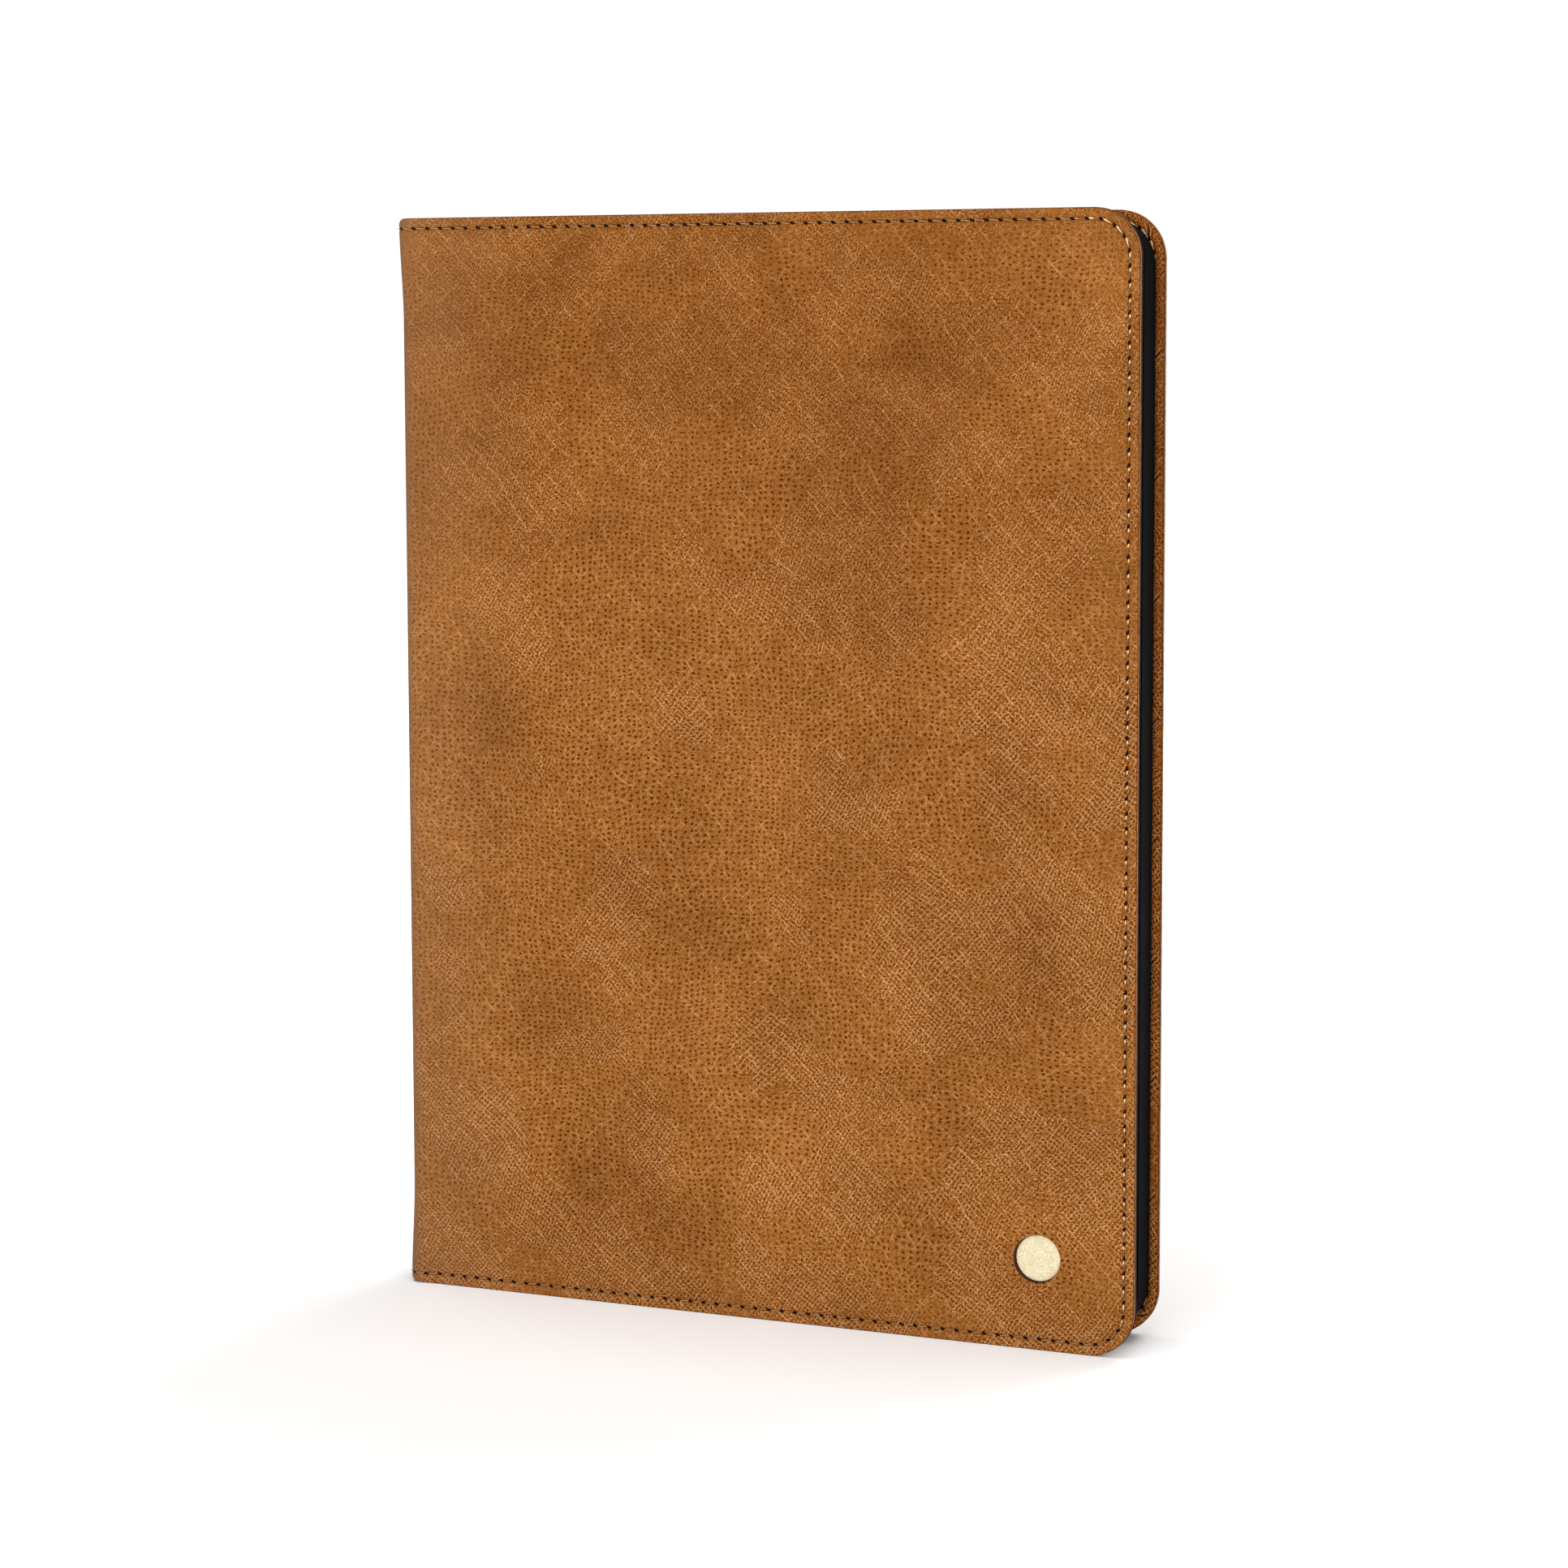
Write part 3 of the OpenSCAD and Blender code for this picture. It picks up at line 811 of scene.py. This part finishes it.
# Soft clouds in the front leather: share across, share up, size in mm, and how much lighter or darker.
CLOUDS = [
    (0.27, 0.79, 15, 0.25), (0.28, 0.62, 26, 0.25), (0.48, 0.64, 18, 0.22), (0.81, 0.64, 16, 0.42),
    (0.85, 0.79, 15, 0.25), (0.55, 0.13, 20, 0.45), (0.47, 0.28, 15, 0.30), (0.22, 0.18, 15, 0.28),
    (0.70, 0.28, 18, 0.28), (0.08, 0.47, 15, 0.25), (0.10, 0.64, 17, 0.22), (0.78, 0.54, 14, 0.30),
    (0.41, 0.15, 13, 0.25), (0.50, 0.49, 17, 0.20), (0.93, 0.93, 20, 0.30), (0.20, 0.32, 12, 0.20),
    (0.74, 0.90, 22, -0.35), (0.67, 0.72, 24, -0.42), (0.75, 0.51, 19, -0.30), (0.82, 0.27, 19, -0.45),
    (0.32, 0.12, 20, -0.45), (0.42, 0.38, 20, -0.40), (0.22, 0.31, 15, -0.32), (0.18, 0.53, 16, -0.30),
    (0.20, 0.87, 24, -0.30), (0.05, 0.75, 13, -0.25), (0.88, 0.37, 16, -0.35), (0.42, 0.06, 14, -0.30),
    (0.52, 0.89, 16, -0.30), (0.36, 0.92, 18, -0.22), (0.30, 0.70, 9, -0.22), (0.56, 0.30, 12, -0.22),
]


def paint_tone(made, face):
    """Stores the clouds of tone on the mesh, one value a point."""
    uv = made.data.uv_layers["grain"].data
    flat = np.zeros(len(uv) * 2, dtype=np.float32)
    uv.foreach_get("uv", flat)
    flat = flat.reshape(-1, 2)
    corners = np.zeros(len(made.data.loops), dtype=np.int32)
    made.data.loops.foreach_get("vertex_index", corners)
    place = np.zeros((len(made.data.vertices), 2))
    place[corners] = flat
    tone = np.zeros(len(place))
    for across, up, size, strength in CLOUDS:
        centre = np.array([across * face.width / MM, up * HEIGHT / MM])
        gap = np.sum((place - centre) ** 2, axis=1)
        tone += strength * 0.5 * np.exp(-gap / (2 * (size * 0.62) ** 2))
    layer = made.data.attributes.new("tone", "FLOAT", "POINT")
    layer.data.foreach_set("value", tone.astype(np.float32))


def stitch_path(face, number, inset):
    """Centre line, side and up directions, radius, and the paleness that places the painted highlight along
    one stitch of a row.
    """
    shares = STITCH_SHARES
    run = (number - 0.5 + 0.07 + shares * 0.86) * face.pitch
    drift = 0.03 * math.sin(number * 2.4) * MM
    across = inset + (0.5 - shares) * 0.30 * MM * (1 if number >= 0 else -1) + drift
    lift = (0.62 * np.sin(math.pi * shares) ** 0.6 - 0.42) * MM
    middle = abs(run.mean())
    past_start = float(smooth(0, 6 * MM, middle - face.straight + 3 * MM))
    before_end = float(smooth(0, 6 * MM, face.straight + face.seam_arc + 3 * MM - middle))
    reach = 1 - 0.55 * past_start * before_end
    corner = face.seam_arc if run.mean() > 0 else 0
    end_row = float(smooth(0, 5 * MM, middle - face.straight - corner))

    travel, z = face.seam_point(run, across)
    depth = relief(face, travel, z, np.full_like(travel, inset))
    line = face.place(travel, z, depth - lift)
    up = line - face.place(travel, z, depth - lift + MM)
    tangent = np.gradient(line, axis=0)
    tangent /= np.linalg.norm(tangent, axis=1, keepdims=True)
    side = np.cross(tangent, up)
    side /= np.linalg.norm(side, axis=1, keepdims=True)
    radius = THREAD_R * (0.55 + 0.45 * np.sin(math.pi * np.clip(shares, 0.06, 0.94)) ** 0.35)
    radius = radius * (0.85 + (0.75 - 0.65 * end_row) * smooth(0.45, 0.75, shares))
    # The painted highlight lies where this value is low.
    pale = (1 - shares) * reach * (1 - end_row) + 0.37 * end_row
    return line, side, np.cross(side, tangent), radius, pale


def seam_thread(name, rows, material):
    """Rows of stitches: short arched tubes that dip into a hole at each end."""
    points, faces, layer = [], [], []
    steps = len(STITCH_SHARES)
    for face, first, last, inset in rows:
        for number in range(first, last + 1):
            start = len(points)
            line, side, up, radius, pale = stitch_path(face, number, inset)
            for step in range(steps):
                for turn in range(THREAD_SIDES):
                    angle = 2 * math.pi * turn / THREAD_SIDES
                    offset = math.cos(angle) * side[step] + math.sin(angle) * up[step]
                    points.append(line[step] + offset * radius[step])
                    layer.append((pale[step], turn / THREAD_SIDES))
            for step in range(steps - 1):
                for turn in range(THREAD_SIDES):
                    a = start + step * THREAD_SIDES + turn
                    b = start + step * THREAD_SIDES + (turn + 1) % THREAD_SIDES
                    faces.append((a, b, b + THREAD_SIDES, a + THREAD_SIDES))
            faces.append(tuple(range(start + THREAD_SIDES - 1, start - 1, -1)))
            top = start + (steps - 1) * THREAD_SIDES
            faces.append(tuple(range(top, top + THREAD_SIDES)))
    return make_mesh(name, points, faces, [material], None, {"thread": layer})


def emblem_disc(material):
    """Round inlay behind the window: slightly crowned suede, fuller in the middle."""
    face = FRONT_OUTER
    centre = (face.width - EMBLEM_FROM_EDGE, EMBLEM_FROM_BASE)
    rings, spokes = 12, 48
    radius = EMBLEM_R - 0.03 * MM
    crown = 0.10 * MM
    back = LEATHER - SHELL_GAP
    points, faces = [], []

    def add(distance, depth):
        """Adds a ring of points round the centre."""
        angle = 2 * math.pi * np.arange(spokes) / spokes
        travel = centre[0] + distance * np.cos(angle)
        height = centre[1] + distance * np.sin(angle)
        points.extend(face.place(travel, height, np.full(spokes, depth)))

    for ring in range(1, rings + 1):
        share = ring / rings
        rolled = max(0, share - 0.92) / 0.08
        add(radius * share, EMBLEM_SUNK - crown * (1 - share ** 2) + crown * rolled)
    add(radius, back)
    top = len(points)
    for depth in (EMBLEM_SUNK - crown, back):
        points.append(face.place(np.array([centre[0]]), np.array([centre[1]]), np.array([depth]))[0])
    for turn in range(spokes):
        after = (turn + 1) % spokes
        faces.append((top, turn, after))
        for ring in range(rings):
            a = ring * spokes + turn
            b = ring * spokes + after
            faces.append((a, a + spokes, b + spokes, b))
        faces.append((top + 1, rings * spokes + after, rings * spokes + turn))
    made = make_mesh("emblem_disc", points, faces, [material])
    sharpen(made, math.radians(50))
    return made


def bend_at_fold(piece, cover):
    """Works out a step from the fold towards the spine, which isn't used, and bakes the piece's placement
    into its points.
    """
    step = cover.spine - cover.along
    step = step / np.linalg.norm(step) * BLEND_REACH
    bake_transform(piece)


FRONT_OUTER = Face(FRONT, 1)
FRONT_INNER = Face(FRONT, -1)
REAR_OUTER = Face(REAR, 1)
REAR_INNER = Face(REAR, -1)

# Centre of the dark ring round the window, a burnt rim with painted shade, a little to the left of and below
# the window's centre so that the painted shade lies on the left and lower side.
WINDOW_SHADE = ((FRONT_OUTER.width - EMBLEM_FROM_EDGE) / MM - 0.35, EMBLEM_FROM_BASE / MM - 0.25, 0.0)

# Shades of each leather, from the darkest to the palest.
TAN_SHADES = [rgb(84, 28, 0), rgb(113, 57, 0), rgb(138, 84, 33), rgb(168, 116, 76), rgb(197, 150, 118)]
LINING_SHADES = [rgb(62, 18, 0), rgb(112, 52, 4), rgb(162, 90, 36), rgb(202, 134, 78), rgb(230, 172, 122)]

TAN = leather("tan_leather", TAN_SHADES, 0.9, outer=True)
TAN_EDGE = raw_edge("tan_cut_edge", rgb(134, 84, 46), rgb(196, 146, 102))
BURNT = raw_edge("burnt_window_edge", rgb(24, 13, 8), rgb(52, 30, 16))
LINING = leather("lining_leather", LINING_SHADES, 0.8, nicks=27.5)
LINING_EDGE = raw_edge("lining_cut_edge", rgb(30, 17, 10), rgb(70, 40, 22))
THREAD = thread_material()

for face, name, materials, with_window in (
        (FRONT_OUTER, "front_wrap", [TAN, TAN_EDGE, BURNT], True),
        (REAR_OUTER, "rear_wrap", [TAN, TAN_EDGE, BURNT], False),
        (FRONT_INNER, "front_lining_wrap", [LINING, LINING_EDGE, BURNT], False),
        (REAR_INNER, "rear_lining_wrap", [LINING, LINING_EDGE, BURNT], False)):
    piece = leather_wrap(name, face, materials, with_window)
    if face is FRONT_OUTER:
        paint_tone(piece, face)
    bend_at_fold(piece, face.cover)
    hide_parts(face.cover.name + ("_leather" if face.side > 0 else "_lining"))
    if face.cover is FRONT:
        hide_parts("spine_leather" if face.side > 0 else "spine_lining")

# Stitches are numbered from the middle of the fore edge. The front row also has the one at mid-spine.
for cover, outside, inside, extra in (
        (FRONT, FRONT_OUTER, FRONT_INNER, 0),
        (REAR, REAR_OUTER, REAR_INNER, -1)):
    last = outside.stitches + extra
    last_inside = outside.stitches - INNER_SHORT
    rows = [(outside, -last, last, SEAM_INSET), (inside, -last_inside, last_inside, SEAM_INSET)]
    piece = seam_thread(cover.name + "_thread", rows, THREAD)
    bend_at_fold(piece, cover)
    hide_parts(cover.name + "_stitching")
    if cover is FRONT:
        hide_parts("spine_stitching")

disc = emblem_disc(suede_material())
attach(disc, "front_cover")
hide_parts("emblem_inlay")


def repaint(node, material):
    """Gives a CAD node its material."""
    mesh = frame["nodes"][node].data
    mesh.materials.clear()
    mesh.materials.append(material)


def round_edges(made):
    """Joins the points of a CAD mesh and rounds its sharp edges."""
    weld = made.modifiers.new("weld", "WELD")
    weld.merge_threshold = 0.002 * MM
    bevel = made.modifiers.new("round_edges", "BEVEL")
    bevel.width = 0.35 * MM
    bevel.segments = 3
    bevel.limit_method = "ANGLE"
    bevel.angle_limit = math.radians(35)
    bevel.harden_normals = True


BOARD = fibre_board_material()
for node in ("rear_board", "spine_board", "front_board"):
    repaint(node, BOARD)
repaint("tray_bond", adhesive_material())
repaint("front_magnets", magnet_material())
repaint("tray_shell", plastic_material())
round_edges(frame["nodes"]["tray_shell"])


def lamp(name, place, size, power):
    """Large square light that looks at the middle of the folio."""
    light = bpy.data.lights.new(name, "AREA")
    light.size = size
    light.energy = power
    made = bpy.data.objects.new(name, light)
    made.location = place
    aim = Vector((0, 0, HEIGHT / 2)) - Vector(place)
    made.rotation_euler = aim.to_track_quat("-Z", "Y").to_euler()
    bpy.context.scene.collection.objects.link(made)


def map_range(tree, value, low, high, start, end):
    """Node that maps value from the range low to high onto the range start to end."""
    made = tree.nodes.new("ShaderNodeMapRange")
    for number, limit in enumerate((low, high, start, end), start=1):
        made.inputs[number].default_value = limit
    tree.links.new(value, made.inputs[0])
    return made


def white_floor():
    """Wide white floor, whose own faint light fades out under the folio."""
    bpy.ops.mesh.primitive_circle_add(vertices=96, radius=30, fill_type="NGON", location=(0, 0, 0))
    floor = bpy.context.object
    floor.name = "floor"
    graph = Graph("white_floor")
    place = graph.node("TexCoord").outputs["Object"]
    speck = graph.noise(place, 0.4, 2.0).outputs[0]
    color = graph.mix(speck, (0.93, 0.93, 0.93, 1.0), (0.95, 0.95, 0.95, 1.0))
    graph.finish(color, 0.9, Specular_IOR_Level=0.1)
    away = graph.vector("LENGTH", place, out=1)
    graph.feed(graph.shader.inputs["Emission Color"], (1.0, 1.0, 1.0, 1.0))
    graph.feed(graph.shader.inputs["Emission Strength"], graph.ramp(away, 0.10, 0.70, 0.06, 0.75))
    floor.data.materials.append(graph.material)


def surround():
    """Surround that looks evenly white, and sheds more light from the right than from the left."""
    world = bpy.data.worlds.new("studio")
    world.use_nodes = True
    tree = world.node_tree
    ray = tree.nodes.new("ShaderNodeLightPath")
    way = tree.nodes.new("ShaderNodeSeparateXYZ")
    tree.links.new(tree.nodes.new("ShaderNodeTexCoord").outputs["Generated"], way.inputs[0])
    side = map_range(tree, way.outputs[0], -1.0, 0.4, 0.10, 0.42)
    strength = map_range(tree, ray.outputs["Is Camera Ray"], 0.0, 1.0, 0.0, 1.05)
    tree.links.new(side.outputs[0], strength.inputs[3])
    background = tree.nodes["Background"]
    tree.links.new(strength.outputs[0], background.inputs[1])
    background.inputs[0].default_value = (1.0, 1.0, 1.0, 1.0)
    bpy.context.scene.world = world


def studio():
    """Floor, surround, and soft lights at the front, the right, above and behind."""
    white_floor()
    surround()
    lamp("key", (-0.3, -1.9, 0.5), 0.9, 19.0)
    lamp("fill", (1.3, -1.0, 0.5), 1.1, 2.0)
    lamp("top", (0.0, -0.30, 1.9), 1.4, 24.0)
    lamp("back", (0.5, 1.2, 1.6), 1.0, 15.0)


def photo_camera():
    """Camera in front and to the right, near the height of the top edge, looking slightly down."""
    data = bpy.data.cameras.new("camera")
    data.sensor_width = 36
    data.lens = 86.56
    data.shift_y = -0.0518
    camera = bpy.data.objects.new("camera", data)
    place = Vector((0.31819, -0.81491, 0.23055))
    yaw, pitch, roll = (math.radians(angle) for angle in (21.076, 5.599, -0.159))
    ahead = Vector((-math.sin(yaw) * math.cos(pitch), math.cos(yaw) * math.cos(pitch), -math.sin(pitch)))
    turn = Matrix.Rotation(roll, 3, -ahead) @ ahead.to_track_quat("-Z", "Y").to_matrix()
    camera.matrix_world = Matrix.Translation(place) @ turn.to_4x4()
    bpy.context.scene.collection.objects.link(camera)
    bpy.context.scene.camera = camera


studio()
photo_camera()
bpy.context.scene.view_settings.view_transform = "Standard"
